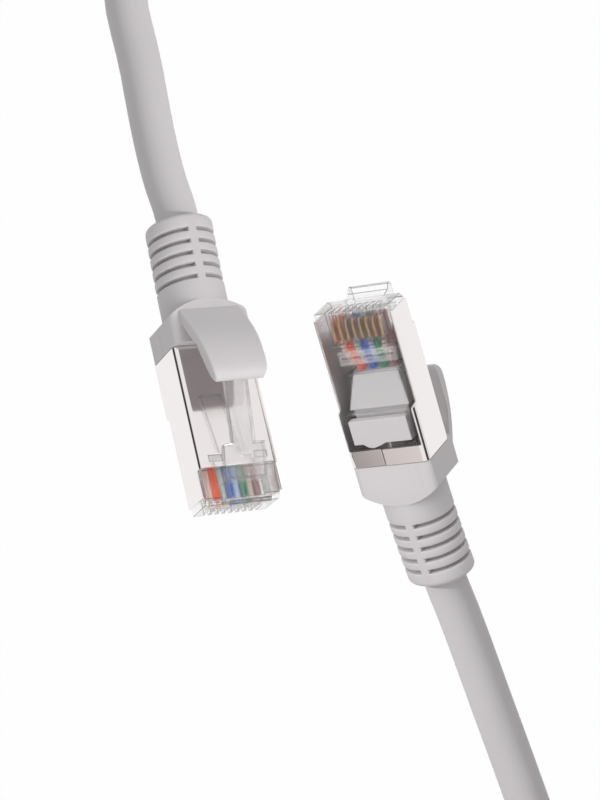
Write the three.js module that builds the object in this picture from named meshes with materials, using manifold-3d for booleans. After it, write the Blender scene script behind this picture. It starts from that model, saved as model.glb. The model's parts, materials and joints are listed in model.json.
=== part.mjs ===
// A shielded network patch cable with its two plugs, one latch side up and one contact side up,
// and the rest of its cord wound into a tied coil. Millimetres, +Z up, standing on z = 0.
//
// Each plug is built in its own frame: X across the contacts, Y from the nose (0) back to the
// cord, Z from the contact face (0) to the latch side.
import * as THREE from "three";
import { mergeVertices } from "three/addons/utils/BufferGeometryUtils.js";
import Module from "manifold-3d";

const wasm = await Module();
wasm.setup();

// ---- Driving dimensions -------------------------------------------------------------------

const FIT_GAP = 0.1; // between pieces of a plug that touch
const CORD_GAP = 0.3; // between the faces of the cord's lengths

// Plug body and shell
const PLUG_WIDTH = 11.7; // over the shell
const SHELL_SHEET = 0.25;
const SHELL_BEND = 0.5; // outer radius of a folded edge
const SHELL_HEIGHT = 6.6; // contact face to the shell's latch face
const SHELL_END_Y = 22.2;
const NOSE_HEIGHT = 5.4; // contact face to the latch side of the clear nose
const NOSE_CHAMFER = 0.8;
const SIDE_PANEL_Y = 1.0; // front edge of the shell's side panels
const LATCH_FACE_Y = 4.8; // front edge of the shell's latch face
const REAR_STEP = 1.4; // the rear stands this much prouder on the contact side
const STEP_RUN = 0.45;
const STRAP_LENGTH = 2.4;
const STRAP_Y = SHELL_END_Y - STRAP_LENGTH;
const SEAM_WIDTH = 0.2;
const SEAM_X = -0.5;
const DETENT_X = 3.3;
const DETENT_Y = 5.5;
const DETENT_SIZE = [2.0, 1.0];

// Contacts and conductors
const CONTACT_COUNT = 8;
const CONTACT_PITCH = 1.02;
const CONTACT_THICKNESS = 0.35;
const CONTACT_RECESS = 0.4; // below the contact face
const CONTACT_FRONT_Y = 1.55;
const CONTACT_LENGTH = 3.0;
const CONTACT_CORNER = 0.55;
const SLOT_LENGTH = 4.7;
const WIRE_DIAMETER = 0.92;
const WIRE_Z = 2.4;
const WIRE_FRONT_Y = 1.2;
const WIRE_ROOM_RAMP = [0.5, 0.9]; // behind the slots, where the room for the wires deepens
const WIRE_STRAIGHT_Y = [4.8, 6.2]; // behind this the pairs gather towards the jacket
const WIRE_MIDDLE_Y = 8.05;
const WIRE_END_RUN = 0.4;
const PAIR_Z = [3.95, 2.95]; // striped and plain wire of a pair where they leave the jacket
const PAIR_GATHER = 0.82;
const WIRE_SIDES = 6;

// Clamp bar, jacket end, wire guide and drain wire inside the plug
const CLAMP_HALF = 4.35;
const CLAMP_THICKNESS = 1.3;
const CLAMP_LENGTH = 3.5;
const CLAMP_STRAP_GAP = 0.9;
const CLAMP_END_Y = STRAP_Y - CLAMP_STRAP_GAP;
const CLAMP_FRONT_Y = CLAMP_END_Y - CLAMP_LENGTH;
const CLAMP_LIP = [
  [0.4, 0],
  [-0.6, 0.39],
  [-1.5, 0.65],
  [-2.3, 0.52],
  [-3.0, 0],
]; // across the bar, and behind its end
const CLAMP_WINDOW_RUN = 0.8; // how far the window in front of the bar reaches
const CLAMP_WINDOW_Z = 0.6;
const STEP_Y = CLAMP_FRONT_Y - 1.4;
const JACKET_FRONT_Y = 9.6;
const JACKET_FRONT_HALF = 3.6;
const JACKET_FRONT_Z = [2.4, 4.6];
const JACKET_FLAT_HALF = 4.35;
const JACKET_FLAT_Z = [0.45, 5.35];
const JACKET_SHOULDER = 0.8; // run over which the flattened jacket widens
const JACKET_SHOULDER_Z = 1.95;
const JACKET_WEDGE_END_Y = CLAMP_FRONT_Y - 1.0;
const JACKET_FLAT_END_Y = STRAP_Y - 0.6;
const JACKET_GROOVE = 0.4;
const GUIDE_BAR_Y = [6.3, 7.45];
const GUIDE_BAR = 0.7;
const GUIDE_HALF = 4.3;
const GUIDE_RAIL = 0.2;
const GUIDE_Z = [1.2, 1.8];
const DRAIN_DIAMETER = 0.5;
const DRAIN_X = 0.8;
const DRAIN_LEAD = 0.9; // seen in front of the strap
const DRAIN_END_GAP = 0.4; // short of the shell's end

// Latch
const ROOT_FRONT_Y = -0.9; // the latch root overhangs the nose
const ROOT_BACK_Y = 2.4;
const ROOT_HEIGHT = 2.5; // above the nose
const ROOT_FACE = [
  [0.4, 2.4],
  [0, 2.0],
  [0, 1.6],
  [0.75, 0.9],
]; // behind the root's front, and above the nose
const ROOT_FOOT_Y = 0.2;
const LATCH_HALF = 3.05;
const LATCH_ARM_HALF = 1.65;
const LATCH_SHOULDER_Y = 6.9;
const LATCH_END_Y = 16.4;
const LATCH_THICKNESS = 1.0;
const LATCH_RISE = [0.39, 0.235]; // slope of the wide part and of the arm
const LATCH_HINGE_GAP = 0.16;

// Boot and its tab
const BOOT_TOP = 8.1;
const BOOT_SIDE_Y = SHELL_END_Y + 4.1; // rear edge of the collar at its sides
const BOOT_DOME = 2.1; // how much further back the collar reaches at its middle
const DOME_STEPS = 5; // on each side of the middle
const BOOT_CORNER = 1.1;
const BOOT_LIP = 1.2; // rounding of the collar's front edge on the latch side
const SPIGOT_LENGTH = 2.9;
const SPIGOT_HALF = 4.6;
const SPIGOT_Z = [-0.4, 5.9];
const TAIL_Z = 3.34; // the strain relief's axis
const TAIL_RADIUS = [4.75, 4.7]; // at the collar and at the tail
const TAIL_END_Y = SHELL_END_Y + 19;
const TAIL_ROUND = 0.5;
const TAIL_SLOTS = 5;
const TAIL_SLOT_Y = SHELL_END_Y + 9.6; // middle of the first slot
const TAIL_SLOT_PITCH = 1.75;
const TAIL_SLOT_WIDTH = 0.6;
const TAIL_CORE = 3.5; // radius at the bottom of a slot
const TAIL_SPINE = 1.3;
const TAIL_SIDES = 20;
const TAB_ROOT_HALF = 5.05;
const TAB_ROOT_Y = [2.2, 4.0]; // behind the shell, where the tab is widest
const TAB_BACK_HALF = 2.5;
const TAB_TIP_HALF = 4.2;
const TAB_TIP_CORNER = 0.6;
const TAB_SEAT_Y = [2.9, 5.7]; // where it leaves the collar, behind the shell
const TAB_HEIGHT = 9; // more than it rises above the collar
const TAB_SIDE = [
  [5.4, 8.5],
  [3.4, 9.7],
  [1.7, 11.1],
  [0.4, 12.15],
  [-1.2, 12.95],
  [-3.2, 13.5],
  [-5.2, 13.75],
  [-6.7, 13.7],
  [-7.35, 13.35],
  [-7.4, 12.8],
  [-7.15, 12.35],
  [-5.2, 12.2],
  [-3.2, 11.9],
  [-1.2, 11.3],
  [0.4, 10.45],
  [1.7, 9.35],
  [2.5, 8.6],
]; // over the top, round the tip and back underneath, from the shell's end
const TAB_TIP_Y = -7.4;

// Cord
const CORD_DIAMETER = 6.0;
const CORD_SIDES = 10;
const CORD_STEP = 12; // between the sections of a stretch
const JACKET_LINE = [
  [-3.3, 3.05],
  [-0.2, 3.05],
  [3.3, 3.1],
  [7.3, 3.25],
  [11.3, TAIL_Z],
  [14.8, TAIL_Z],
]; // of its middle, from the shell's end

// Where the plugs lie: heading, pitch and roll in degrees, the nose point of the contact face,
// and how far the cord pulls the end of the boot's tail aside (X, Z)
const PLUG_POSES = {
  a: { heading: 13.38, pitch: -16.43, roll: 26.73, at: [-10.68, -15.37, 13.11], lean: [0, 0] },
  b: { heading: -163.35, pitch: -18.11, roll: -150.28, at: [5.47, 11.96, 19.85], lean: [0.61, 0.35] },
};

// The free cord's route, chosen by hand. From plug a it rises over the other end's cord and joins
// the coil's upper layer; from plug b it runs straight to the coil's lower layer.
const STRETCH_A = [
  [-20.4, 31.9, 3.2],
  [-23.3, 45.9, 3.05],
  [-25.7, 60.3, 3.05],
  [-22.0, 73.9, 3.05],
  [-12.9, 82.1, 3.05],
  [-1.3, 84.9, 3.05],
  [10.7, 84.9, 3.05],
  [22.2, 84.9, 3.05],
  [34.3, 81.6, 3.05],
  [43.0, 72.9, 3.05],
  [46.2, 60.9, 3.05],
  [46.2, 45.9, 3.05],
  [46.2, 30.9, 3.05],
  [46.2, 15.9, 3.05],
  [46.2, 0.9, 3.2],
  [46.2, -12.1, 4.2],
  [46.2, -24.1, 5.6],
  [46.2, -36.1, 7.1],
  [46.1, -48.1, 8.5],
  [42.9, -59.7, 9.2],
  [34.1, -68.4, 9.5],
];
const STRETCH_B = [
  [21.1, -30.0, 3.3],
  [25.8, -42.8, 3.05],
  [30.7, -56.3, 3.05],
  [35.3, -69.7, 3.05],
  [39.6, -82.8, 3.6],
];

// The coil that the rest of the cord is wound into, seen from above
const COIL_CENTRE = [11.0, -106.8];
const COIL_RADIUS = 34.6; // of the outer turn's centreline
const COIL_START = 93; // degrees, where the cord from plug a joins it
const COIL_STEPS = 67;
const COIL_STEPS_PER_TURN = 24;
const COIL_SIDES = 6;
const COIL_CORD_RADIUS = 3.2; // to the corners of the six-sided section, its flats level
const COIL_TURN_PITCH = 6.9;
const COIL_LAYER_STEP = 6.1;
const COIL_FLOOR_GAP = 0.03;
const TIE_AT = 335; // degrees round the coil
const TIE_WIDTH = 6;
const TIE_THICKNESS = 0.6;
const TIE_GAP = 0.65; // the turns bend inside the tie's straight width

const CONTACT_FACE_Z = 0;
const REACH = 1; // how far a cutting or joined solid runs past the face that it meets
const TALL = 8; // more than a plug's pieces are high
const BODY_HALF = PLUG_WIDTH / 2 - SHELL_SHEET - FIT_GAP;
const CONTACT_XS = Array.from(
  { length: CONTACT_COUNT },
  (_, pin) => (pin - (CONTACT_COUNT - 1) / 2) * CONTACT_PITCH,
);

// ---- Solids -------------------------------------------------------------------------------

// A closed geometry as a solid that can be joined and cut.
function solid(geometry) {
  const bare = geometry.index ? geometry.toNonIndexed() : geometry.clone();
  for (const name of Object.keys(bare.attributes)) {
    if (name !== "position") bare.deleteAttribute(name);
  }
  const merged = mergeVertices(bare, 1e-4);
  return new wasm.Manifold(
    new wasm.Mesh({
      numProp: 3,
      vertProperties: merged.attributes.position.array,
      triVerts: new Uint32Array(merged.index.array),
    }),
  );
}

function geometryOf(made) {
  const { vertProperties, triVerts } = made.getMesh();
  const geometry = new THREE.BufferGeometry();
  geometry.setAttribute("position", new THREE.BufferAttribute(vertProperties, 3));
  geometry.setIndex(new THREE.BufferAttribute(triVerts, 1));
  const flat = geometry.toNonIndexed();
  flat.computeVertexNormals();
  return flat;
}

function box([x0, x1], [y0, y1], [z0, z1]) {
  const geometry = new THREE.BoxGeometry(x1 - x0, y1 - y0, z1 - z0);
  return solid(geometry.translate((x0 + x1) / 2, (y0 + y1) / 2, (z0 + z1) / 2));
}

const outline = (points) => new THREE.Shape(points.map(([u, v]) => new THREE.Vector2(u, v)));

function extruded(shape, depth) {
  return new THREE.ExtrudeGeometry(shape, { depth, bevelEnabled: false, curveSegments: 5 });
}

// A side view (Y, Z) pulled across X, centred.
function acrossX(points, width, middle = 0) {
  const turn = new THREE.Matrix4().makeBasis(
    new THREE.Vector3(0, 1, 0),
    new THREE.Vector3(0, 0, 1),
    new THREE.Vector3(1, 0, 0),
  );
  const geometry = extruded(outline(points), width).applyMatrix4(turn);
  return solid(geometry.translate(middle - width / 2, 0, 0));
}

// A top view (X, Y) pulled up Z.
function alongZ(points, [z0, z1]) {
  return solid(extruded(outline(points), z1 - z0).translate(0, 0, z0));
}

// A front view (X, Z) pulled back along Y.
function alongY(shape, [y0, y1]) {
  const turn = new THREE.Matrix4().makeBasis(
    new THREE.Vector3(1, 0, 0),
    new THREE.Vector3(0, 0, 1),
    new THREE.Vector3(0, -1, 0),
  );
  return solid(extruded(shape, y1 - y0).applyMatrix4(turn).translate(0, y1, 0));
}

function roundedRectangle([x0, x1], [z0, z1], radius) {
  const shape = new THREE.Shape();
  shape.moveTo(x0 + radius, z0);
  shape.lineTo(x1 - radius, z0);
  shape.absarc(x1 - radius, z0 + radius, radius, -Math.PI / 2, 0);
  shape.lineTo(x1, z1 - radius);
  shape.absarc(x1 - radius, z1 - radius, radius, 0, Math.PI / 2);
  shape.lineTo(x0 + radius, z1);
  shape.absarc(x0 + radius, z1 - radius, radius, Math.PI / 2, Math.PI);
  shape.lineTo(x0, z0 + radius);
  shape.absarc(x0 + radius, z0 + radius, radius, Math.PI, 1.5 * Math.PI);
  return shape;
}

function polygon(radius, sides) {
  const shape = new THREE.Shape();
  for (let side = 0; side < sides; side += 1) {
    const angle = ((side + 0.5) / sides) * 2 * Math.PI;
    const point = [radius * Math.cos(angle), radius * Math.sin(angle)];
    if (side === 0) shape.moveTo(...point);
    else shape.lineTo(...point);
  }
  return shape;
}

function tube(points, radius, sides, steps) {
  const path = new THREE.CatmullRomCurve3(points.map((point) => new THREE.Vector3(...point)));
  return new THREE.ExtrudeGeometry(polygon(radius, sides), { steps, extrudePath: path });
}

// An arc of points, for rounding a corner of an outline.
function arc([u, v], radius, from, to, steps = 4) {
  return Array.from({ length: steps + 1 }, (_, step) => {
    const angle = ((from + ((to - from) * step) / steps) * Math.PI) / 180;
    return [u + radius * Math.cos(angle), v + radius * Math.sin(angle)];
  });
}

const join = (...solids) => solids.reduce((all, next) => all.add(next));
const cut = (made, ...cutters) => cutters.reduce((left, next) => left.subtract(next), made);

// ---- One plug's pieces --------------------------------------------------------------------

const bodyTop = SHELL_HEIGHT - SHELL_SHEET - FIT_GAP;
const bodyRearFace = -REAR_STEP + SHELL_SHEET + FIT_GAP;

function latchRoot() {
  const face = ROOT_FACE.map(([y, z]) => [ROOT_FRONT_Y + y, NOSE_HEIGHT + z]);
  const side = [
    [ROOT_FOOT_Y, NOSE_HEIGHT - REACH],
    [ROOT_BACK_Y, NOSE_HEIGHT - REACH],
    [ROOT_BACK_Y, NOSE_HEIGHT + ROOT_HEIGHT],
    ...face,
  ];
  return acrossX(side, 2 * LATCH_HALF);
}

// The flattened jacket, or with a gap the room round it.
function jacketWedge(gap) {
  const [frontLow, frontHigh] = JACKET_FRONT_Z;
  const [flatLow, flatHigh] = JACKET_FLAT_Z;
  const front = JACKET_FRONT_Y - gap;
  const shoulder = JACKET_FRONT_Y + JACKET_SHOULDER;
  const end = JACKET_WEDGE_END_Y + gap;
  const side = [
    [front, frontLow - gap],
    [shoulder, JACKET_SHOULDER_Z - gap],
    [end, flatLow - gap],
    [end, flatHigh + gap],
    [front, frontHigh + gap],
  ];
  const narrow = JACKET_FRONT_HALF + gap;
  const wide = JACKET_FLAT_HALF + gap;
  const top = [
    [-narrow, front],
    [narrow, front],
    [wide, shoulder],
    [wide, end],
    [-wide, end],
    [-wide, shoulder],
  ];
  return acrossX(side, 2 * wide).intersect(alongZ(top, [0, TALL]));
}

function jacketLine(endY) {
  const line = JACKET_LINE.map(([y, z]) => [0, SHELL_END_Y + y, z]);
  return [...line, [0, endY, TAIL_Z]];
}

// Where the nose is cut away: a slot for each contact, and the room for the wires behind them.
function wireRooms() {
  const half = (CONTACT_THICKNESS + FIT_GAP) / 2;
  const slots = CONTACT_XS.map((x) =>
    box([x - half, x + half], [-REACH, SLOT_LENGTH], [-REACH, WIRE_Z]),
  );
  const low = WIRE_Z - WIRE_DIAMETER / 2 - FIT_GAP;
  const guideLow = GUIDE_Z[0] - FIT_GAP;
  const high = WIRE_Z + WIRE_DIAMETER;
  const side = [
    [WIRE_FRONT_Y - FIT_GAP, low],
    [SLOT_LENGTH + WIRE_ROOM_RAMP[0], low],
    [SLOT_LENGTH + WIRE_ROOM_RAMP[1], guideLow],
    [JACKET_FRONT_Y, guideLow],
    [JACKET_FRONT_Y, PAIR_Z[0] + WIRE_DIAMETER],
    [WIRE_STRAIGHT_Y[1] + WIRE_END_RUN, high],
    [WIRE_FRONT_Y - FIT_GAP, high],
  ];
  const wires = CONTACT_XS.at(-1) + WIRE_DIAMETER / 2;
  return [...slots, acrossX(side, 2 * (Math.max(wires, GUIDE_HALF) + FIT_GAP))];
}

// Where the rear is cut away: for the jacket, the clamp bar and the drain wire.
function jacketRooms() {
  const flatHalf = JACKET_FLAT_HALF + FIT_GAP;
  const flat = box(
    [-flatHalf, flatHalf],
    [JACKET_WEDGE_END_Y, JACKET_FLAT_END_Y + FIT_GAP],
    [CONTACT_FACE_Z, JACKET_FLAT_Z[1] + FIT_GAP],
  );
  const window = box(
    [-CLAMP_HALF - FIT_GAP, CLAMP_HALF + FIT_GAP],
    [CLAMP_FRONT_Y - CLAMP_WINDOW_RUN, STRAP_Y - 2 * FIT_GAP],
    [-REAR_STEP - REACH, CLAMP_WINDOW_Z],
  );
  const drainHalf = DRAIN_DIAMETER / 2 + FIT_GAP;
  const drain = box(
    [DRAIN_X - drainHalf, DRAIN_X + drainHalf],
    [STRAP_Y - REACH, SHELL_END_Y - 2 * FIT_GAP],
    [-REAR_STEP - REACH, bodyRearFace + DRAIN_DIAMETER + FIT_GAP],
  );
  const bore = jacketTube(CORD_DIAMETER / 2 + FIT_GAP, TAIL_END_Y);
  return [jacketWedge(FIT_GAP), flat, window, drain, bore];
}

function plugBody() {
  const side = [
    [0, CONTACT_FACE_Z],
    [STEP_Y, CONTACT_FACE_Z],
    [STEP_Y + STEP_RUN, -REAR_STEP],
    [STRAP_Y - FIT_GAP, -REAR_STEP],
    [STRAP_Y - FIT_GAP, bodyRearFace],
    [SHELL_END_Y - FIT_GAP, bodyRearFace],
    [SHELL_END_Y - FIT_GAP, bodyTop],
    [LATCH_FACE_Y + FIT_GAP, bodyTop],
    [LATCH_FACE_Y, NOSE_HEIGHT],
    [NOSE_CHAMFER, NOSE_HEIGHT],
    [0, NOSE_HEIGHT - NOSE_CHAMFER],
  ];
  const spigot = box(
    [-SPIGOT_HALF, SPIGOT_HALF],
    [SHELL_END_Y - REACH, SHELL_END_Y + SPIGOT_LENGTH - FIT_GAP],
    SPIGOT_Z,
  );
  const whole = join(acrossX(side, 2 * BODY_HALF), spigot, latchRoot());
  return cut(whole, ...wireRooms(), ...jacketRooms());
}

// The round jacket through the plug's rear and the boot, for the jacket itself and for its bores.
function jacketTube(radius, endY) {
  return solid(tube(jacketLine(endY), radius, TAIL_SIDES / 2, 8));
}

function jacketEnd() {
  const flat = box(
    [-JACKET_FLAT_HALF + JACKET_GROOVE, JACKET_FLAT_HALF - JACKET_GROOVE],
    [JACKET_WEDGE_END_Y - JACKET_GROOVE, JACKET_FLAT_END_Y],
    [JACKET_FLAT_Z[0] + JACKET_GROOVE, JACKET_FLAT_Z[1]],
  );
  return join(jacketWedge(0), flat, jacketTube(CORD_DIAMETER / 2, TAIL_END_Y));
}

function shell() {
  const outer = acrossX(
    [
      [SIDE_PANEL_Y, CONTACT_FACE_Z],
      [STEP_Y, CONTACT_FACE_Z],
      [STEP_Y + STEP_RUN, -REAR_STEP],
      [SHELL_END_Y, -REAR_STEP],
      [SHELL_END_Y, SHELL_HEIGHT],
      [LATCH_FACE_Y, SHELL_HEIGHT],
      [LATCH_FACE_Y, NOSE_HEIGHT],
      [SIDE_PANEL_Y, NOSE_HEIGHT],
    ],
    PLUG_WIDTH,
  );
  const half = PLUG_WIDTH / 2;
  const folds = alongY(
    roundedRectangle([-half, half], [-REAR_STEP, SHELL_HEIGHT], SHELL_BEND),
    [0, SHELL_END_Y + REACH],
  );
  const inside = acrossX(
    [
      [-REACH, -REAR_STEP - REACH],
      [STRAP_Y, -REAR_STEP - REACH],
      [STRAP_Y, -REAR_STEP + SHELL_SHEET],
      [SHELL_END_Y + REACH, -REAR_STEP + SHELL_SHEET],
      [SHELL_END_Y + REACH, SHELL_HEIGHT - SHELL_SHEET],
      [-REACH, SHELL_HEIGHT - SHELL_SHEET],
    ],
    PLUG_WIDTH - 2 * SHELL_SHEET,
  );
  const seam = box(
    [SEAM_X - SEAM_WIDTH / 2, SEAM_X + SEAM_WIDTH / 2],
    [STRAP_Y - REACH, SHELL_END_Y + REACH],
    [-REAR_STEP - REACH, -REAR_STEP + 2 * SHELL_SHEET],
  );
  const [detentWidth, detentLength] = DETENT_SIZE;
  const detents = [-DETENT_X, DETENT_X].map((x) =>
    box(
      [x - detentWidth / 2, x + detentWidth / 2],
      [DETENT_Y, DETENT_Y + detentLength],
      [SHELL_HEIGHT - 2 * SHELL_SHEET, SHELL_HEIGHT + REACH],
    ),
  );
  return cut(outer.intersect(folds), inside, seam, ...detents);
}

function contact(x) {
  const top = CONTACT_RECESS;
  const bottom = WIRE_Z - WIRE_DIAMETER / 2 - FIT_GAP / 2;
  const end = CONTACT_FRONT_Y + CONTACT_LENGTH;
  const side = [
    ...arc([CONTACT_FRONT_Y + CONTACT_CORNER, top + CONTACT_CORNER], CONTACT_CORNER, 180, 270),
    ...arc([end - CONTACT_CORNER, top + CONTACT_CORNER], CONTACT_CORNER, 270, 360),
    [end, bottom],
    [CONTACT_FRONT_Y, bottom],
  ];
  return acrossX(side, CONTACT_THICKNESS, x);
}

function wire(pin) {
  const x = CONTACT_XS[pin];
  const [endX, endZ] = [x * PAIR_GATHER, PAIR_Z[pin % 2]];
  const end = JACKET_FRONT_Y - FIT_GAP;
  const line = [
    [x, WIRE_FRONT_Y, WIRE_Z],
    [x, WIRE_STRAIGHT_Y[0], WIRE_Z],
    [x, WIRE_STRAIGHT_Y[1], WIRE_Z],
    [(x + endX) / 2, WIRE_MIDDLE_Y, (WIRE_Z + endZ) / 2],
    [endX, end - WIRE_END_RUN, endZ],
    [endX, end, endZ],
  ];
  return solid(tube(line, WIRE_DIAMETER / 2, WIRE_SIDES, 8));
}

function wireGuide() {
  const first = GUIDE_BAR_Y[0];
  const last = GUIDE_BAR_Y[1] + GUIDE_BAR;
  const frame = box([-GUIDE_HALF, GUIDE_HALF], [first, last], GUIDE_Z);
  const opening = box(
    [-GUIDE_HALF + GUIDE_RAIL, GUIDE_HALF - GUIDE_RAIL],
    [first + GUIDE_BAR, last - GUIDE_BAR],
    [GUIDE_Z[0] - REACH, GUIDE_Z[1] + REACH],
  );
  return cut(frame, opening);
}

function clampBar() {
  const top = [
    [-CLAMP_HALF, CLAMP_FRONT_Y],
    [CLAMP_HALF, CLAMP_FRONT_Y],
    [CLAMP_HALF, CLAMP_END_Y],
    ...CLAMP_LIP.map(([x, y]) => [x, CLAMP_END_Y + y]),
    [-CLAMP_HALF, CLAMP_END_Y],
  ];
  return alongZ(top, [-REAR_STEP, -REAR_STEP + CLAMP_THICKNESS]);
}

function drainWire() {
  const z = bodyRearFace + DRAIN_DIAMETER / 2 - FIT_GAP;
  const line = [STRAP_Y - DRAIN_LEAD, STRAP_Y, SHELL_END_Y - DRAIN_END_GAP];
  const points = line.map((y) => [DRAIN_X, y, z]);
  return solid(tube(points, DRAIN_DIAMETER / 2, WIRE_SIDES, 2));
}

function latch() {
  const front = ROOT_BACK_Y + LATCH_HINGE_GAP;
  const low = NOSE_HEIGHT + ROOT_HEIGHT;
  const shoulder = low + LATCH_RISE[0] * (LATCH_SHOULDER_Y - front);
  const high = shoulder + LATCH_RISE[1] * (LATCH_END_Y - LATCH_SHOULDER_Y);
  const side = [
    [front, low - LATCH_THICKNESS],
    [LATCH_SHOULDER_Y, shoulder - LATCH_THICKNESS],
    [LATCH_END_Y, high - LATCH_THICKNESS],
    [LATCH_END_Y, high],
    [LATCH_SHOULDER_Y, shoulder],
    [front, low],
  ];
  const top = [
    [-LATCH_HALF, front - REACH],
    [LATCH_HALF, front - REACH],
    [LATCH_HALF, LATCH_SHOULDER_Y],
    [LATCH_ARM_HALF, LATCH_SHOULDER_Y],
    [LATCH_ARM_HALF, LATCH_END_Y + REACH],
    [-LATCH_ARM_HALF, LATCH_END_Y + REACH],
    [-LATCH_ARM_HALF, LATCH_SHOULDER_Y],
    [-LATCH_HALF, LATCH_SHOULDER_Y],
  ];
  return acrossX(side, 2 * LATCH_HALF).intersect(alongZ(top, [0, high + REACH]));
}

function collar() {
  const half = PLUG_WIDTH / 2;
  const block = alongY(roundedRectangle([-half, half], [-REAR_STEP, BOOT_TOP], BOOT_CORNER), [
    SHELL_END_Y + FIT_GAP,
    BOOT_SIDE_Y + BOOT_DOME,
  ]);
  const dome = Array.from({ length: 2 * DOME_STEPS + 1 }, (_, step) => {
    const x = half * (1 - step / DOME_STEPS);
    return [x, BOOT_SIDE_Y + BOOT_DOME * (1 - (x / half) ** 2)];
  });
  const plan = [[-half, SHELL_END_Y], [half, SHELL_END_Y], ...dome];
  const front = SHELL_END_Y + FIT_GAP;
  const lip = arc([front + BOOT_LIP, BOOT_TOP - BOOT_LIP], BOOT_LIP, 180, 90);
  const back = BOOT_SIDE_Y + BOOT_DOME + REACH;
  const side = [[front, -REAR_STEP], ...lip, [back, BOOT_TOP], [back, -REAR_STEP]].reverse();
  const above = alongZ(plan, [-REAR_STEP - REACH, BOOT_TOP + REACH]);
  return block.intersect(above).intersect(acrossX(side, PLUG_WIDTH));
}

// A profile of (radius, y) turned round the strain relief's axis.
function turned(profile) {
  const points = profile.map(([radius, y]) => new THREE.Vector2(radius, y));
  return solid(new THREE.LatheGeometry(points, TAIL_SIDES).translate(0, 0, TAIL_Z));
}

// The strain relief: its slots run round both sides and leave a spine above and below.
function tail() {
  const [near, far] = TAIL_RADIUS;
  const whole = turned([
    [0, BOOT_SIDE_Y - REACH],
    [near, BOOT_SIDE_Y - REACH],
    [far, TAIL_END_Y - TAIL_ROUND],
    [far - TAIL_ROUND, TAIL_END_Y],
    [0, TAIL_END_Y],
  ]);
  const spine = box(
    [-TAIL_SPINE / 2, TAIL_SPINE / 2],
    [BOOT_SIDE_Y, TAIL_END_Y],
    [TAIL_Z - near - REACH, TAIL_Z + near + REACH],
  );
  const slots = Array.from({ length: TAIL_SLOTS }, (_, slot) => {
    const middle = TAIL_SLOT_Y + slot * TAIL_SLOT_PITCH;
    const [front, back] = [middle - TAIL_SLOT_WIDTH / 2, middle + TAIL_SLOT_WIDTH / 2];
    const groove = turned([
      [TAIL_CORE, front],
      [near + REACH, front],
      [near + REACH, back],
      [TAIL_CORE, back],
      [TAIL_CORE, front],
    ]);
    return cut(groove, spine);
  });
  return cut(whole, ...slots);
}

function boot() {
  const pocket = box(
    [-SPIGOT_HALF - FIT_GAP, SPIGOT_HALF + FIT_GAP],
    [SHELL_END_Y - REACH, SHELL_END_Y + SPIGOT_LENGTH],
    [SPIGOT_Z[0] - FIT_GAP, SPIGOT_Z[1] + FIT_GAP],
  );
  const bore = jacketTube(CORD_DIAMETER / 2 + FIT_GAP, TAIL_END_Y + REACH);
  return cut(join(collar(), tail()), pocket, bore);
}

function bootTab() {
  const seat = BOOT_TOP + FIT_GAP;
  const [seatFront, seatBack] = TAB_SEAT_Y;
  const [widest, narrowing] = TAB_ROOT_Y;
  const behindShell = ([u, v]) => [u, SHELL_END_Y + v];
  const side = [[seatBack, seat], ...TAB_SIDE, [seatFront, seat]].map(([y, z]) => [
    SHELL_END_Y + y,
    z,
  ]);
  const half = [
    [TAB_TIP_HALF - TAB_TIP_CORNER, TAB_TIP_Y - FIT_GAP],
    [TAB_TIP_HALF, TAB_TIP_Y + TAB_TIP_CORNER],
    [TAB_ROOT_HALF, widest],
    [TAB_ROOT_HALF, narrowing],
  ].map(behindShell);
  half.push([TAB_BACK_HALF, BOOT_SIDE_Y + BOOT_DOME]);
  const other = half.map(([x, y]) => [-x, y]).reverse();
  const above = alongZ([...half, ...other], [BOOT_TOP, BOOT_TOP + TAB_HEIGHT]);
  return acrossX(side, 2 * TAB_ROOT_HALF).intersect(above);
}

// The tail and the jacket in it, pulled aside by the cord: nothing at the collar's front, most at
// the tail's end.
function leaning(geometry, [leanX, leanZ]) {
  const { position } = geometry.attributes;
  for (let vertex = 0; vertex < position.count; vertex += 1) {
    const along = Math.max(0, position.getY(vertex) - SHELL_END_Y) / (TAIL_END_Y - SHELL_END_Y);
    position.setX(vertex, position.getX(vertex) + leanX * along ** 2);
    position.setZ(vertex, position.getZ(vertex) + leanZ * along ** 2);
  }
  geometry.computeVertexNormals();
  return geometry;
}

// ---- The free cord ------------------------------------------------------------------------

const radians = THREE.MathUtils.degToRad;
const coilTurns = COIL_STEPS / COIL_STEPS_PER_TURN;
const coilReverse = (coilTurns - 0.5) / 2; // turns before the spiral starts to reverse
const coilFlat = COIL_CORD_RADIUS * Math.cos(Math.PI / COIL_SIDES);
const tieLift = COIL_CORD_RADIUS - coilFlat + TIE_GAP + TIE_THICKNESS;

// How far inside the outer turn the cord lies, and how much of the layer step it has come down.
function wound(turn) {
  const past = turn - coilReverse;
  if (past < 0) return { inward: turn * COIL_TURN_PITCH, down: 0 };
  if (past > 0.5) return { inward: (coilTurns - turn) * COIL_TURN_PITCH, down: 1 };
  const swing = (COIL_TURN_PITCH / (2 * Math.PI)) * Math.sin(2 * Math.PI * past);
  return {
    inward: coilReverse * COIL_TURN_PITCH + swing,
    down: (1 - Math.cos(2 * Math.PI * past)) / 2,
  };
}

// The coil lies tilted on its tie, which it holds down on the floor.
function coilPoint(turn) {
  const { inward, down } = wound(turn);
  const radius = COIL_RADIUS - inward;
  const angle = radians(COIL_START) + 2 * Math.PI * turn;
  const lift = (tieLift * (1 + Math.cos(angle - radians(TIE_AT)))) / 2;
  return new THREE.Vector3(
    COIL_CENTRE[0] + radius * Math.cos(angle),
    COIL_CENTRE[1] + radius * Math.sin(angle),
    COIL_FLOOR_GAP + coilFlat + lift + (1 - down) * COIL_LAYER_STEP,
  );
}

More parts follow.
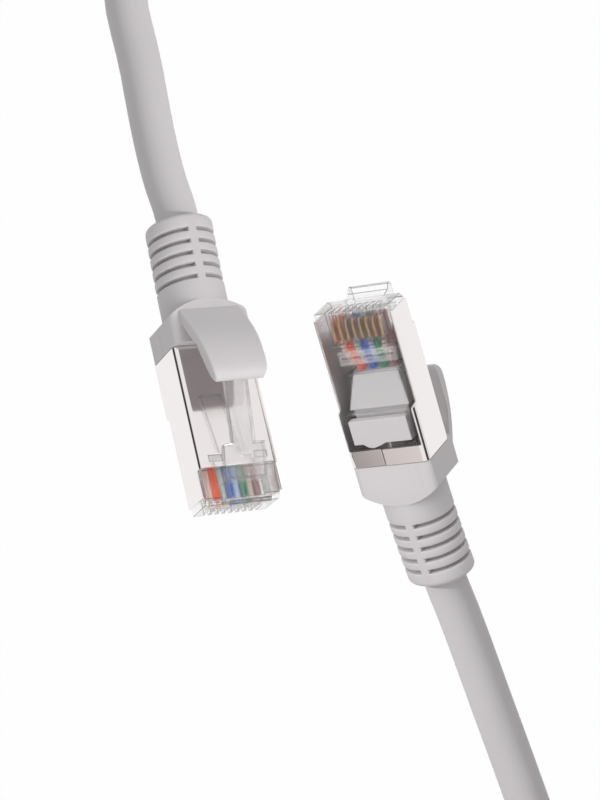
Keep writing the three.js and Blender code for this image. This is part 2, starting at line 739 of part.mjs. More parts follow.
// The coil's centreline, with a straight end of one diameter at each end.
function coilLine() {
  const turns = Array.from({ length: COIL_STEPS + 1 }, (_, step) =>
    coilPoint(step / COIL_STEPS_PER_TURN),
  );
  const straight = (turn, way) => {
    const heading = radians(COIL_START + 90) + 2 * Math.PI * turn;
    const along = new THREE.Vector3(Math.cos(heading), Math.sin(heading), 0);
    return coilPoint(turn).addScaledVector(along, way * CORD_DIAMETER);
  };
  return [straight(0, -1), ...turns, straight(coilTurns, 1)];
}

// One section of the coiled cord: its corners round a point, with the flats level.
function coilSection(line, index) {
  const last = line.length - 1;
  const before = line[Math.max(0, index - 1)];
  const after = line[Math.min(last, index + 1)];
  const along = after.clone().sub(before).setZ(0).normalize();
  const side = new THREE.Vector3(along.y, -along.x, 0);
  return Array.from({ length: COIL_SIDES }, (_, corner) => {
    const angle = (corner / COIL_SIDES) * 2 * Math.PI;
    return line[index]
      .clone()
      .addScaledVector(side, COIL_CORD_RADIUS * Math.cos(angle))
      .add(new THREE.Vector3(0, 0, COIL_CORD_RADIUS * Math.sin(angle)));
  });
}

function coilCord() {
  const line = coilLine();
  const sections = line.map((_, index) => coilSection(line, index));
  const corners = sections.flat();
  const index = [];
  for (let section = 0; section + 1 < sections.length; section += 1) {
    for (let corner = 0; corner < COIL_SIDES; corner += 1) {
      const a = section * COIL_SIDES + corner;
      const b = section * COIL_SIDES + ((corner + 1) % COIL_SIDES);
      index.push(a, b + COIL_SIDES, b, a, a + COIL_SIDES, b + COIL_SIDES);
    }
  }
  const end = corners.length - COIL_SIDES;
  for (let corner = 1; corner + 1 < COIL_SIDES; corner += 1) {
    index.push(0, corner, corner + 1, end, end + corner + 1, end + corner);
  }
  const geometry = new THREE.BufferGeometry().setFromPoints(corners);
  geometry.setIndex(index);
  console.log(`coil's least gap to itself: ${leastGap(sections).toFixed(2)} mm`);
  return geometry;
}

// The least distance between points of the cord's surface that lie half a turn or more apart.
function leastGap(sections) {
  const surface = sections.map((section) =>
    section.flatMap((corner, index) => [
      corner,
      corner.clone().lerp(section[(index + 1) % COIL_SIDES], 0.5),
    ]),
  );
  const apart = COIL_STEPS_PER_TURN / 2;
  let least = Infinity;
  surface.forEach((points, index) => {
    for (const others of surface.slice(index + apart)) {
      for (const point of points) {
        least = Math.min(least, ...others.map((other) => point.distanceTo(other)));
      }
    }
  });
  return least;
}

// The outline that goes round equal circles, given in order anticlockwise.
function bandOutline(centres, radius) {
  const points = centres.flatMap((centre, index) => {
    const before = centres[(index + centres.length - 1) % centres.length];
    const after = centres[(index + 1) % centres.length];
    const normal = ([u0, v0], [u1, v1]) => (Math.atan2(u0 - u1, v1 - v0) * 180) / Math.PI;
    const from = normal(before, centre);
    const to = from + ((normal(centre, after) - from + 720) % 360);
    return arc(centre, radius, from, to, 3);
  });
  return outline(points);
}

// The tie: a strap once round the turns, standing on the floor under them.
function coilTie() {
  const turn = (TIE_AT - COIL_START) / 360;
  const strands = [turn + 1, turn + 2, turn].map((at) => {
    const { x, y, z } = coilPoint(at);
    return [Math.hypot(x - COIL_CENTRE[0], y - COIL_CENTRE[1]), z];
  });
  const inner = bandOutline(strands, COIL_CORD_RADIUS + TIE_GAP);
  const outer = bandOutline(strands, COIL_CORD_RADIUS + TIE_GAP + TIE_THICKNESS);
  const span = [-TIE_WIDTH / 2, TIE_WIDTH / 2];
  const [front, back] = span;
  const strap = cut(alongY(outer, span), alongY(inner, [front - REACH, back + REACH]));
  return geometryOf(strap)
    .rotateZ(radians(TIE_AT))
    .translate(...COIL_CENTRE, 0);
}

// A stretch of cord from a plug's tail, over its chosen points, to an end of the coil.
function stretch(pose, points, coilEnd, coilNext) {
  const face = new THREE.Vector3(pose.lean[0], TAIL_END_Y, TAIL_Z + pose.lean[1]);
  const slope = 2 / (TAIL_END_Y - SHELL_END_Y);
  const out = new THREE.Vector3(pose.lean[0] * slope, 1, pose.lean[1] * slope).normalize();
  const frame = plugFrame(pose);
  const start = face.addScaledVector(out, CORD_GAP).applyMatrix4(frame.matrix);
  out.transformDirection(frame.matrix);
  const back = coilEnd.clone().sub(coilNext).normalize();
  const end = coilEnd.clone().addScaledVector(back, CORD_GAP);
  const line = [
    start,
    start.clone().addScaledVector(out, 1),
    ...points.map((point) => new THREE.Vector3(...point)),
    end.clone().addScaledVector(back, CORD_DIAMETER / 2),
    end,
  ];
  const path = new THREE.CatmullRomCurve3(line, false, "centripetal");
  const steps = Math.ceil(path.getLength() / CORD_STEP);
  return new THREE.ExtrudeGeometry(polygon(CORD_DIAMETER / 2, CORD_SIDES), {
    steps,
    extrudePath: path,
  });
}

// ---- Materials ----------------------------------------------------------------------------

function finish(color, roughness, metalness = 0, opacity = 1) {
  return new THREE.MeshStandardMaterial({
    color,
    roughness,
    metalness,
    opacity,
    transparent: opacity < 1,
  });
}

const WIRE_COLOURS = [
  ["white_orange", 0xf2d9cc],
  ["orange", 0xe2573a],
  ["white_green", 0xcfe3d3],
  ["blue", 0x2f5fb0],
  ["white_blue", 0xd3dcef],
  ["green", 0x2f8a5b],
  ["white_brown", 0xe3d6cd],
  ["brown", 0x7b5347],
];
const clear = finish(0xf3f5f6, 0.08, 0, 0.35);
const nickel = finish(0xcfcac6, 0.18, 1);
const gold = finish(0xd9a94e, 0.25, 1);
const boots = finish(0xc9c6c7, 0.55);
const jacket = finish(0xc2c0c1, 0.5);
const copper = finish(0xd8d4cf, 0.3, 1);

function named(name, geometry, material) {
  const mesh = new THREE.Mesh(geometry, material);
  mesh.name = name;
  return mesh;
}

function plugFrame({ heading, pitch, roll, at }) {
  const group = new THREE.Group();
  group.rotation.set(radians(pitch), radians(roll), radians(heading), "ZXY");
  group.position.set(...at);
  group.updateMatrix();
  return group;
}

function plug(end, pose) {
  const group = plugFrame(pose);
  const add = (name, geometry, material) => group.add(named(`${name}_${end}`, geometry, material));
  add("plug_body", geometryOf(plugBody()), clear);
  add("shell", geometryOf(shell()), nickel);
  add("latch", geometryOf(latch()), clear);
  add("boot", leaning(geometryOf(boot()), pose.lean), boots);
  add("boot_tab", geometryOf(bootTab()), boots);
  add("jacket_end", leaning(geometryOf(jacketEnd()), pose.lean), jacket);
  add("clamp_bar", geometryOf(clampBar()), boots);
  add("wire_guide", geometryOf(wireGuide()), clear);
  add("drain_wire", geometryOf(drainWire()), copper);
  CONTACT_XS.forEach((x, pin) => {
    add(`contact_${pin + 1}`, geometryOf(contact(x)), gold);
  });
  WIRE_COLOURS.forEach(([colour, hex], pin) => {
    add(`wire_${colour}`, geometryOf(wire(pin)), finish(hex, 0.5));
  });
  return group;
}

const { a, b } = PLUG_POSES;
const line = coilLine();
const cable = new THREE.Group();
cable.add(
  plug("a", a),
  plug("b", b),
  named("cord_stretch_a", stretch(a, STRETCH_A, line[0], line[1]), jacket),
  named("cord_stretch_b", stretch(b, STRETCH_B, line.at(-1), line.at(-2)), jacket),
  named("cord_coil", coilCord(), jacket),
  named("coil_tie", coilTie(), finish(0x4a4a4c, 0.6)),
);

export default cable;
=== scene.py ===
"""The looks of a shielded network patch cable: two clear plugs in nickel shells, moulded boots,
and one cord whose spare length is wound into a tied coil outside the picture."""

import json
import math

import bmesh
import bpy
from mathutils import Matrix, Vector

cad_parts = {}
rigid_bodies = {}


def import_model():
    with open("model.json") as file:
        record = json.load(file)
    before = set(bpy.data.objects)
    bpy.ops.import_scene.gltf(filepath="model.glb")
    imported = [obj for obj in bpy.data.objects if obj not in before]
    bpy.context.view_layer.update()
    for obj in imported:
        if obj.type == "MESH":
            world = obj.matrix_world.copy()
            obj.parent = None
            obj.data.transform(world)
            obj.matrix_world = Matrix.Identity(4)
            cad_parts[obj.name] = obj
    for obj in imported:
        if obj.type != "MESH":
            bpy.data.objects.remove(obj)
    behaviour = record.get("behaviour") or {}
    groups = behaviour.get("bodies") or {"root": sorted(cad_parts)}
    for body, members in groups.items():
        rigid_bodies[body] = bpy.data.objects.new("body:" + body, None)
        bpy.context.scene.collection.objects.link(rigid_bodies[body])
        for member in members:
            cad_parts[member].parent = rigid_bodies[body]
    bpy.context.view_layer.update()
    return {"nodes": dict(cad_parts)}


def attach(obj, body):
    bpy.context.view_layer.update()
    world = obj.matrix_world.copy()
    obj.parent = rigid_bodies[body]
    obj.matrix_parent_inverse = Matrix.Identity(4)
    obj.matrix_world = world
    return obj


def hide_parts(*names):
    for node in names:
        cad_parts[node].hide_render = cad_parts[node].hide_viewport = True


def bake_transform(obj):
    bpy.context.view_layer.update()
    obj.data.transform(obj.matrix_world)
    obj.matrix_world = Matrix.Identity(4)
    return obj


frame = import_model()

MM = 0.001
ENDS = ("a", "b")

# ---- Sizes, in millimetres in a plug's own frame ------------------------------------------
# X runs across the contacts, Y from the nose back to the cord, Z from the contact face to
# the latch side.

PLUG_POSES = {
    "a": {"turn": (13.38, -16.43, 26.73), "at": (-10.68, -15.37, 13.11), "lean": (0.45, 0.0)},
    "b": {"turn": (-163.35, -18.11, -150.28), "at": (5.47, 11.96, 19.85), "lean": (0.61, 0.35)},
}
HOOD_REACH = {"a": (0.0, 0.0), "b": (1.0, 0.35)}  # how much further and higher the hood's tip is
SHELL_END_Y = 22.2
CLOSE = 0.02  # near enough to count as lying on a face
SAME_PLACE = 0.002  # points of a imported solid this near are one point
FLAT_ANGLE = 1.5  # degrees by which a flat face may bend

COLLAR_HALF = 5.85
COLLAR_Z = (-1.4, 8.1)
COLLAR_Y = (22.3, 26.3)
COLLAR_DOME = 2.1
COLLAR_CORNER = 1.1
COLLAR_LIP = 1.2
COLLAR_ROUND = 0.25
COLLAR_SHORTEST = 0.15  # edges shorter than this stay sharp
COLLAR_SLICES = 6  # on each side of the middle, so that the back can be domed
COLLAR_LINE_Z = 2.95  # where the mould parts, which shows on one side only
COLLAR_LINE = 0.1
COLLAR_LINE_DEPTH = 0.12

TAIL_Z = 3.34
TAIL_RADIUS = 4.75
TAIL_BORE = 3.1
TAIL_END_Y = 41.2
TAIL_RINGS_Y = (26.0, 28.0, 30.0)  # rings of points before the slots, so that the tail can lean
TAIL_BORE_RINGS_Y = (36.0, 31.0, 26.0)
TAIL_END_ROUND = 0.7
TAIL_MOUTH = 0.3  # how far the bore flares at its end
TAIL_SLOT_Y = [31.8 + 1.75 * slot for slot in range(5)]
TAIL_SLOT_WIDTH = 0.6
TAIL_SLOT_DEPTH = 1.25
TAIL_SPINE = 1.3
TAIL_SKIN = 0.3  # faces this near to the outside can be sunk into slots
TAIL_ROUND = 0.2
TAIL_TURNS = 96

HOOD_ROOT_HALF = 4.75
HOOD_TIP_HALF = 4.05
HOOD_TIP_Y = 14.6
HOOD_ROOT_Y = 24.4
HOOD_NOSE_Y = 15.3
HOOD_NOSE_DRAW = 0.25  # how much narrower the hood is before that
HOOD_SHARES = (-0.9, -0.5, 0.0, 0.5, 0.9, 1.0)  # of its half width, where it is cut across
HOOD_OUTLINE = [
    (27.3, 7.7), (26.9, 8.2), (25.8, 8.95), (24.2, 10.15), (22.6, 11.35), (21.0, 12.3), (19.0, 13.1),
    (17.2, 13.55), (16.0, 13.65), (15.4, 13.5), (14.9, 13.1), (14.65, 12.5), (14.8, 12.2),
    (15.6, 12.15), (17.0, 12.05), (19.0, 11.7), (21.0, 11.05), (22.6, 10.2), (23.9, 9.15), (24.7, 8.4),
    (25.2, 7.6),
]

CORD_RADIUS = 3.0
CORD_INSIDE_Y = (37.6, 39.4, TAIL_END_Y, TAIL_END_Y + 1.5)  # points inside a boot's tail
WIRE_RADIUS = 0.46

# ---- The cord's route, in metres ------------------------------------------------------------

STRETCH_A = [
    (-0.0204, 0.0319, 0.0032), (-0.0233, 0.0459, 0.00305), (-0.0257, 0.0603, 0.00305),
    (-0.0220, 0.0739, 0.00305), (-0.0129, 0.0821, 0.00305), (-0.0013, 0.0849, 0.00305),
    (0.0107, 0.0849, 0.00305), (0.0222, 0.0849, 0.00305), (0.0343, 0.0816, 0.00305),
    (0.0430, 0.0729, 0.00305), (0.0462, 0.0609, 0.00305), (0.0462, 0.0459, 0.00305),
    (0.0462, 0.0309, 0.00305), (0.0462, 0.0159, 0.00305), (0.0462, 0.0009, 0.0032),
    (0.0462, -0.0121, 0.0042), (0.0462, -0.0241, 0.0056), (0.0462, -0.0361, 0.0071),
    (0.0461, -0.0481, 0.0085), (0.0429, -0.0597, 0.0092), (0.0341, -0.0684, 0.0095),
]
STRETCH_B = [
    (0.0211, -0.0300, 0.0033), (0.0258, -0.0428, 0.00305), (0.0307, -0.0563, 0.00305),
    (0.0353, -0.0697, 0.00305), (0.0396, -0.0828, 0.0036),
]

COIL_CENTRE = (0.0110, -0.1068)
COIL_RADIUS = 0.0346
COIL_START = 93
COIL_STEPS = 67
COIL_STEPS_PER_TURN = 24
COIL_TURN_PITCH = 0.0069
COIL_LAYER_STEP = 0.0061
COIL_LOWEST = 0.00303
COIL_TILT = 0.00168
TIE_AT = 335
STRAP_ROUND = 0.00018

# ---- Shader values --------------------------------------------------------------------------


class Socket:
    """A shader value that is added, multiplied and compared like a number."""

    def __init__(self, finish, output):
        self.finish = finish
        self.output = output

    def math(self, operation, first, second=0.0, clamp=False):
        settings = {"operation": operation, "use_clamp": clamp}
        return self.finish.node("ShaderNodeMath", settings, {0: first, 1: second})

    def __add__(self, other):
        return self.math("ADD", self, other)

    def __radd__(self, other):
        return self.math("ADD", other, self)

    def __sub__(self, other):
        return self.math("SUBTRACT", self, other)

    def __rsub__(self, other):
        return self.math("SUBTRACT", other, self)

    def __mul__(self, other):
        return self.math("MULTIPLY", self, other)

    def __rmul__(self, other):
        return self.math("MULTIPLY", other, self)

    def size(self):
        return self.math("ABSOLUTE", self)

    def between(self, low, high):
        """0 below low and 1 above high, with a soft step."""
        settings = {"interpolation_type": "SMOOTHSTEP"}
        inputs = {"Value": self, "From Min": low, "From Max": high}
        return self.finish.node("ShaderNodeMapRange", settings, inputs)


UNSHADED = ("studio", "white_floor")  # these get a shader of their own


class Finish:
    """A material, or the world, whose nodes are made by one method."""

    def __init__(self, name, tree=None, sockets=None):
        if tree is None:
            self.material = bpy.data.materials.new(name)
            self.material.use_nodes = True
            tree = self.material.node_tree
        self.tree = tree
        self.tree.nodes.clear()
        if name not in UNSHADED:
            self.shader = self.made("ShaderNodeBsdfPrincipled", {}, sockets or {})
            self.finish_with(self.shader.outputs[0])

    def made(self, kind, settings, inputs):
        node = self.tree.nodes.new(kind)
        for key, value in settings.items():
            setattr(node, key, value)
        for key, value in inputs.items():
            self.feed(node.inputs[key], value)
        return node

    def node(self, kind, settings=None, inputs=None, output=0):
        return Socket(self, self.made(kind, settings or {}, inputs or {}).outputs[output])

    def feed(self, socket, value):
        if isinstance(value, Socket):
            self.tree.links.new(value.output, socket)
        else:
            socket.default_value = value

    def finish_with(self, output, kind="ShaderNodeOutputMaterial"):
        ends = [node for node in self.tree.nodes if node.bl_idname == kind]
        end = ends[0] if ends else self.tree.nodes.new(kind)
        self.tree.links.new(output, end.inputs["Surface"])

    def shaded(self):
        return Socket(self, self.shader.outputs[0])

    def set(self, name, value):
        self.feed(self.shader.inputs[name], value)

    def noise(self, scale, detail=3.0, roughness=0.5):
        where = self.node("ShaderNodeTexCoord", output="Object")
        inputs = {"Vector": where, "Scale": scale, "Detail": detail, "Roughness": roughness}
        return self.node("ShaderNodeTexNoise", {}, inputs)

    def marked(self, name):
        """A value that a piece's faces carry under this name."""
        return self.node("ShaderNodeAttribute", {"attribute_name": name}, output="Fac")

    def mixed(self, factor, first, second):
        inputs = {"Factor": factor, 6: first, 7: second}  # the colour sockets, whose names aren't unique
        return self.node("ShaderNodeMix", {"data_type": "RGBA"}, inputs, output=2)

    def white_when_seen(self, kinds, most=1.0):
        """How much of a shader is plain white, for the kinds of ray that see it straight."""
        path = self.made("ShaderNodeLightPath", {}, {})
        first, *others = (Socket(self, path.outputs[kind]) for kind in kinds)
        return first.math("MULTIPLY", sum(others, first), most, clamp=True)

    def bump(self, height, strength, distance):
        inputs = {"Height": height, "Strength": strength, "Distance": distance}
        self.set("Normal", self.node("ShaderNodeBump", {}, inputs))


def linear(red, green, blue):
    """A colour read as 0 to 255, as shader values."""
    def one(level):
        share = level / 255
        return share / 12.92 if share <= 0.04045 else ((share + 0.055) / 1.055) ** 2.4
    return (one(red), one(green), one(blue), 1.0)


# ---- Finishes -------------------------------------------------------------------------------

FROST = 0.1  # how matt the clear plastic's frosted faces are


def moulded(name, colour, roughness):
    """Soft moulded plastic: faint clouding of its colour and a fine satin grain."""
    finish = Finish(name, sockets={"Specular IOR Level": 0.35})
    cloud = finish.noise(160, detail=4)
    darker = tuple(level * 0.95 for level in colour[:3]) + (1.0,)
    finish.set("Base Color", finish.mixed(cloud, darker, colour))
    grain = finish.noise(9000, detail=2)
    finish.set("Roughness", roughness - 0.05 + grain * 0.1)
    finish.bump(grain, 0.12, 0.00003)
    return finish


def boot_vinyl():
    finish = moulded("boot_vinyl", linear(214, 210, 211), 0.55)
    finish.set("Subsurface Weight", 0.1)
    finish.set("Subsurface Radius", (1.0, 0.9, 0.85))
    finish.set("Subsurface Scale", 0.0005)
    return finish


def cord_vinyl():
    return moulded("cord_vinyl", linear(212, 208, 209), 0.5)


# Painted shade: the cord's own vinyl made darker for the jacket's end inside the plug, which lies in shade
# behind the clear body.
def shaded_jacket_vinyl():
    return moulded("shaded_jacket_vinyl", linear(192, 189, 190), 0.5)


def clamp_plastic():
    return moulded("clamp_plastic", linear(210, 205, 207), 0.5)


def nickel():
    finish = Finish("nickel", sockets={"Metallic": 1.0})
    cloud = finish.noise(220, detail=5)
    finish.set("Base Color", finish.mixed(cloud, linear(238, 233, 232), linear(244, 239, 238)))
    finish.set("Roughness", 0.07 + cloud * 0.06 + finish.marked("frost") * 0.4)
    finish.bump(finish.noise(260, detail=1), 0.04, 0.00006)
    return finish


def clear_plastic(name, body, milk, rims, glint):
    """Polycarbonate, darker where a face turns away, which is painted shade. body is how much it hides,
    milk how cloudy it is, rims the colour painted on its edges as dark lines or as highlights, and glint
    how much they mirror."""
    finish = Finish(name, sockets={"IOR": 1.4, "Transmission Weight": 1 - milk})
    turned = finish.node("ShaderNodeLayerWeight", {}, {"Blend": 0.5}, output="Facing")
    edge = turned.between(0.5, 0.95)
    rim, frost = finish.marked("rim"), finish.marked("frost")
    haze = finish.noise(380, detail=3)
    clear = finish.mixed(haze, linear(246, 245, 245), linear(254, 254, 254))
    # Painted shade: grey where a face turns away, for the dark outlines that clear plastic shows.
    clear = finish.mixed(edge, clear, linear(200, 197, 199))
    # Painted on the rounded edges: the rims colour, which is painted shade where dark and a painted
    # highlight where white.
    finish.set("Base Color", finish.mixed(rim, clear, linear(*rims)))
    finish.set("Metallic", rim * glint)
    finish.set("Roughness", haze * 0.02)
    finish.set("Alpha", body + (edge + rim - edge * rim) * (0.95 - body))
    finish.bump(finish.noise(500, detail=2), 0.04, 0.00005)
    matt = finish.node("ShaderNodeBsdfDiffuse", {}, {"Color": linear(238, 222, 221)})
    both = finish.node("ShaderNodeMixShader", {}, {0: frost * FROST, 1: finish.shaded(), 2: matt})
    finish.finish_with(both.output)
    return finish


def gold():
    """Gold on the edge of a contact that meets the socket, and nickel on its two sides."""
    finish = Finish("gold", sockets={"Metallic": 1.0})
    wear = finish.noise(2500, detail=3)
    plated = finish.mixed(wear, linear(226, 182, 108), linear(248, 218, 156))
    side = finish.marked("frost")
    finish.set("Base Color", finish.mixed(side, plated, linear(246, 228, 224)))
    finish.set("Roughness", 0.18 + wear * 0.12 + side * 0.3)
    return finish


def tinned():
    finish = Finish("tinned", sockets={"Metallic": 1.0, "Roughness": 0.3})
    strands = finish.noise(6000, detail=2)
    finish.set("Base Color", finish.mixed(strands, linear(186, 178, 170), linear(214, 208, 200)))
    finish.bump(strands, 0.3, 0.00003)
    return finish


def insulation(name, colour):
    finish = Finish(name)
    shade = finish.noise(1500, detail=2)
    darker = tuple(level * 0.85 for level in colour[:3]) + (1.0,)
    finish.set("Base Color", finish.mixed(shade, darker, colour))
    finish.set("Roughness", 0.34 + shade * 0.12)
    return finish


def strap_fabric():
    finish = Finish("strap_fabric", sockets={"Roughness": 0.9})
    loops = finish.noise(5000, detail=6, roughness=0.8)
    finish.set("Base Color", finish.mixed(loops, linear(24, 24, 26), linear(62, 62, 66)))
    finish.bump(loops, 0.8, 0.0002)
    return finish


FINISHES = {
    "boot": boot_vinyl().material,
    "cord": cord_vinyl().material,
    "jacket": shaded_jacket_vinyl().material,
    "clamp": clamp_plastic().material,
    "nickel": nickel().material,
    # The rims are painted: dark grey lines of shade on the body and the latch, and white lines of highlight
    # on the guide.
    "clear": clear_plastic("clear_plastic", 0.22, 0.08, (140, 134, 137), 0.35).material,
    "latch": clear_plastic("latch_plastic", 0.38, 0.12, (160, 155, 158), 0.35).material,
    "guide": clear_plastic("guide_plastic", 0.4, 0.3, (250, 248, 250), 0.6).material,
    "gold": gold().material,
    "tinned": tinned().material,
    "strap": strap_fabric().material,
}
WIRE_COLOURS = {
    "white_orange": (250, 214, 200), "orange": (255, 92, 55), "white_green": (210, 226, 215),
    "blue": (30, 98, 205), "white_blue": (200, 212, 238), "green": (28, 140, 88),
    "white_brown": (228, 212, 204), "brown": (150, 100, 104),
}
for colour_name, levels in WIRE_COLOURS.items():
    slot_name = f"wire_{colour_name}"
    FINISHES[slot_name] = insulation(slot_name, linear(*levels)).material


# ---- Making pieces --------------------------------------------------------------------------


def plug_matrix(end):
    heading, pitch, roll = (math.radians(angle) for angle in PLUG_POSES[end]["turn"])
    spun = Matrix.Rotation(heading, 4, "Z") @ Matrix.Rotation(pitch, 4, "X") @ Matrix.Rotation(roll, 4, "Y")
    return Matrix.Scale(MM, 4) @ Matrix.Translation(PLUG_POSES[end]["at"]) @ spun


def leaned(bm, end):
    """Pulls a boot's tail aside, as the cord in it does."""
    for vert in bm.verts:
        along = max(0.0, vert.co.y - SHELL_END_Y) / (TAIL_END_Y - SHELL_END_Y)
        for axis, lean in zip((0, 2), PLUG_POSES[end]["lean"]):
            vert.co[axis] += lean * along * along


def add_object(name, data, finish):
    data.materials.append(FINISHES[finish])
    obj = bpy.data.objects.new(name, data)
    bpy.context.scene.collection.objects.link(obj)
    return obj


def add_mesh(name, bm, finish, end=None, sharp=40):
    """A finished piece from a mesh in a plug's millimetres, or in metres where no end is given."""
    if end:
        bm.transform(plug_matrix(end))
    mesh = bpy.data.meshes.new(name)
    bm.to_mesh(mesh)
    bm.free()
    mesh.shade_smooth()
    mesh.set_sharp_from_angle(angle=math.radians(sharp))
    return add_object(name, mesh, finish)


def even_normals(obj):
    """Keeps the flat faces flat beside their rounded edges."""
    modifier = obj.modifiers.new("even_normals", "WEIGHTED_NORMAL")
    modifier.keep_sharp = True
    modifier.weight = 100


def smoothed(obj, levels):
    modifier = obj.modifiers.new("smoothed", "SUBSURF")
    modifier.levels = modifier.render_levels = levels


def ride(obj, body, *nodes):
    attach(obj, body)
    if nodes:
        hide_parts(*nodes)


def sharp_edges(bm, angle=25, wanted=lambda edge: True):
    least = math.radians(angle)
    return [
        edge for edge in bm.edges
        if len(edge.link_faces) == 2 and edge.calc_face_angle(0.0) > least and wanted(edge)
    ]


def bevel(bm, edges, width, segments=3, clamped=True):
    """Rounds edges, and gives back the new faces along them."""
    return bmesh.ops.bevel(
        bm, geom=edges, offset=width, offset_type="OFFSET", segments=segments, profile=0.5,
        affect="EDGES", material=-1, clamp_overlap=clamped,
    )["faces"]


def merge(bm, unit=1.0):
    """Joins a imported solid's loose triangles into whole flat faces."""
    bmesh.ops.remove_doubles(bm, verts=bm.verts, dist=SAME_PLACE * unit)
    bmesh.ops.dissolve_limit(
        bm, angle_limit=math.radians(FLAT_ANGLE), verts=bm.verts, edges=bm.edges, delimit={"NORMAL"}
    )


def solid_of(node, end):
    """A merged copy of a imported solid, in its plug's millimetres."""
    bm = bmesh.new()
    bm.from_mesh(frame["nodes"][node].data)
    bm.transform(plug_matrix(end).inverted())
    merge(bm)
    return bm


def refined(node, end, finish, width, angle=25, shaped=None, frosted=None, clamped=False, until=None):
    """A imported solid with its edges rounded, all of them or those from the nose until a place.
    Its faces carry a rim and a frost value for the finish."""
    bm = solid_of(node, end)
    if shaped:
        shaped(bm)
    rim, frost = (bm.faces.layers.float.new(name) for name in ("rim", "frost"))
    for face in bm.faces:
        face[frost] = float(frosted is not None and frosted(face))
    edges = sharp_edges(bm, angle, lambda edge: not until or max(v.co.y for v in edge.verts) < until)
    for face in bevel(bm, edges, width, 2, clamped):
        face[rim], face[frost] = 1.0, 0.0
    obj = add_mesh(f"{node}_finished", bm, finish, end)
    even_normals(obj)
    return obj


def outline_face(bm, points, x):
    """One flat face across a side outline of (y, z) points."""
    return bm.faces.new([bm.verts.new((x, y, z)) for y, z in points])


def bisected(bm, points, normal):
    for point in points:
        geom = bm.verts[:] + bm.edges[:] + bm.faces[:]
        bmesh.ops.bisect_plane(bm, geom=geom, plane_co=point, plane_no=normal, dist=1e-4)


def spun_ring(profile, steps, middle_z):
    """A closed profile of (radius, y) points turned round the line x = 0, z = middle_z."""
    bm = bmesh.new()
    verts = [bm.verts.new((radius, y, middle_z)) for radius, y in profile]
    edges = [bm.edges.new((verts[k - 1], verts[k])) for k in range(len(verts))]
    bmesh.ops.spin(
        bm, geom=verts + edges, cent=(0, 0, middle_z), axis=(0, 1, 0), angle=math.tau, steps=steps,
        use_merge=True, use_duplicate=False,
    )
    bmesh.ops.remove_doubles(bm, verts=bm.verts, dist=1e-4)
    bmesh.ops.recalc_face_normals(bm, faces=bm.faces)
    return bm


# ---- Camera, light and floor ----------------------------------------------------------------

AMBIENT = 0.58  # how bright the studio is to everything that neither mirrors nor shows it
LAMP_DISTANCE = 0.3
PLUG_AIM = (-0.0195, 0.022, 0.005)  # the middle of plug a, and plug b is half a turn from it
CORD_AIM = (-0.0235, 0.047, 0.003)  # the middle of the cord that shows behind plug a
LAMPS = {  # for end a: aim, heading and rise in degrees, radius, cone and power
    "key": (PLUG_AIM, -8, 43, 0.08, 70, 1.45),
    "front": (PLUG_AIM, -80, 45, 0.08, 70, 0.7),
    "cord": (CORD_AIM, -15, 30, 0.012, 14, 1.5),
}
STRAP_REFLECTS = (-0.626, -0.686, 0.37)  # the way in which the strap of plug b mirrors the studio
CARD_RISES = (0.598, -0.093, 0.796)  # the way in which the card there turns lighter
FLAG_RISES = (0.0, 0.04)  # the height of the way at which the flags begin, as a soft edge
FLAG_FALLS = (0.58, 0.7)  # the height at which they end
FLAG_SPREAD = (0.66, 0.74)  # how far to the sides they reach
FLAG_SLANT = 0.35  # how much less far with their height
CARD_EDGE = (0.9, 0.985)  # how straight a way towards the card meets it
CARD_TURNS = (-0.06, 0.04)  # where it changes from its darker grey to its lighter one
WHITE = (1.0, 1.0, 1.0, 1.0)
STUDIO_WHITE = (0.93, 0.93, 0.93, 1.0)
FLAG_DARK = (0.06, 0.054, 0.052, 1.0)
CARD_GREYS = ((0.3, 0.27, 0.26, 1.0), (0.78, 0.74, 0.72, 1.0))
FLOOR_GREY = (0.75, 0.75, 0.75, 1.0)
FLOOR_SEEN_WHITE = 0.985  # the rest is the floor's own grey, which holds the shadow
CAMERA_HEIGHT = 0.3665
CAMERA_X = -0.00117
SENSOR = 36.0
PIXELS_HIGH = 800
FOCAL_PIXELS = 2601.0


def camera():
    data = bpy.data.cameras.new("camera")
    data.sensor_width = SENSOR
    data.lens = SENSOR * FOCAL_PIXELS / PIXELS_HIGH
    data.clip_start = 0.01
    obj = bpy.data.objects.new("camera", data)
    obj.location = (CAMERA_X, 0.0, CAMERA_HEIGHT)
    bpy.context.scene.collection.objects.link(obj)
    bpy.context.scene.camera = obj


def lamp(name, aim, way, radius, cone, watts, pieces):
    """A soft lamp that lights only the given pieces."""
    data = bpy.data.lights.new(name, "SPOT")
    data.energy = watts
    data.spot_size = math.radians(cone)
    data.spot_blend = 0.4
    data.shadow_soft_size = radius
    obj = bpy.data.objects.new(name, data)
    obj.location = aim + way * LAMP_DISTANCE
    obj.rotation_euler = way.to_track_quat("Z", "Y").to_euler()
    bpy.context.scene.collection.objects.link(obj)
    lit = bpy.data.collections.new(f"{name}_pieces")
    for piece in pieces:
        lit.objects.link(piece)
    obj.light_linking.receiver_collection = lit
    obj.visible_glossy = False


def lamps():
    """The same lamps at both ends, half a turn apart."""
    for end, turned in (("a", 0), ("b", 180)):
        about = Matrix.Rotation(math.radians(turned), 3, "Z")
        pieces = [obj for obj in bpy.data.objects if obj.name.endswith((f"_{end}", f"_{end}_finished"))]
        for name, (aim, heading, rise, radius, cone, watts) in LAMPS.items():
            level, around = math.cos(math.radians(rise)), math.radians(heading)
            way = Vector((level * math.cos(around), level * math.sin(around), math.sin(math.radians(rise))))
            lit = [bpy.data.objects["cord"]] if name == "cord" else pieces
            lamp(f"lamp_{name}_{end}", about @ Vector(aim), about @ way, radius, cone, watts, lit)


